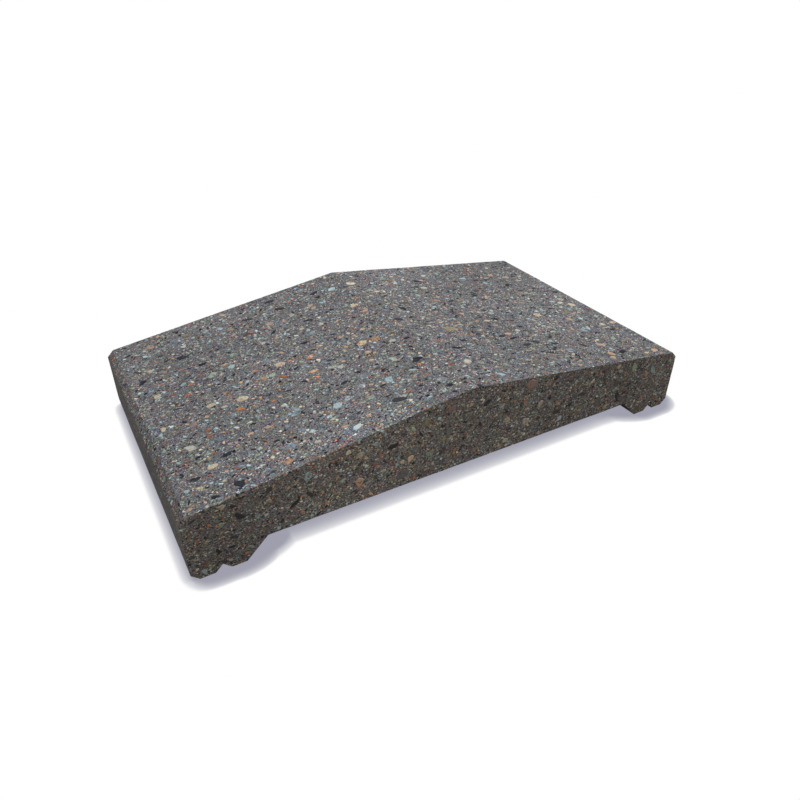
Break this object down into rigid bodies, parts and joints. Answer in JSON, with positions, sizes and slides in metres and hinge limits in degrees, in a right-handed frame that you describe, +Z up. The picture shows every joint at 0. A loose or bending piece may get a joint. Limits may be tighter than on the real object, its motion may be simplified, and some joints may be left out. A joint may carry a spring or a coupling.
{
  "type": "fence coping cap",
  "caption": "Concrete cap with a two-way pitched top that sheds rain from a wall or fence, a shallow recess that drops over the wall head, and a drip groove under each eave.",
  "frame": {"origin": "centre of the underside, on the plane of the feet", "axes": "+X across the wall from eave to eave, +Y along the wall and the ridge, +Z up from the feet to the ridge"},
  "size_m": [0.4, 0.225, 0.0767],
  "materials": {
    "aggregate_concrete": "matte"
  },
  "bodies": {
    "root": {"coping_cap": "aggregate_concrete"}
  },
  "joints": []
}
